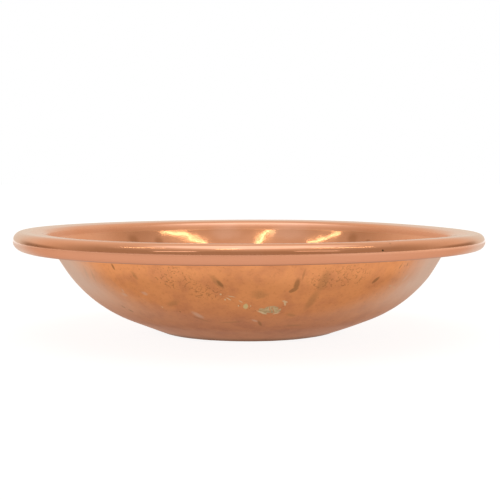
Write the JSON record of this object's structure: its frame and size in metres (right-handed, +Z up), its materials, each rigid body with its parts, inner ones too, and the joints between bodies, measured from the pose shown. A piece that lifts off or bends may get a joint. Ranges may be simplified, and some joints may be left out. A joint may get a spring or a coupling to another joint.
{
  "type": "copper bowl",
  "caption": "Shallow round hammered copper bowl with a flat base, flared neck and a wide lip rolled round an iron ring.",
  "frame": {"origin": "centre of the flat face that the bowl stands on", "axes": "+Z up, out of the mouth. The bowl is round, so +X and +Y are equal, and the ring's butt joint lies on +X."},
  "size_m": [0.406, 0.406, 0.088],
  "materials": {
    "copper": "hand-hammered copper, burnished inside and on the lip, dull and stained outside",
    "iron": "plain black iron bar, unpainted"
  },
  "bodies": {
    "root": {"bowl_shell": "copper", "rim_ring": "iron"}
  },
  "joints": []
}
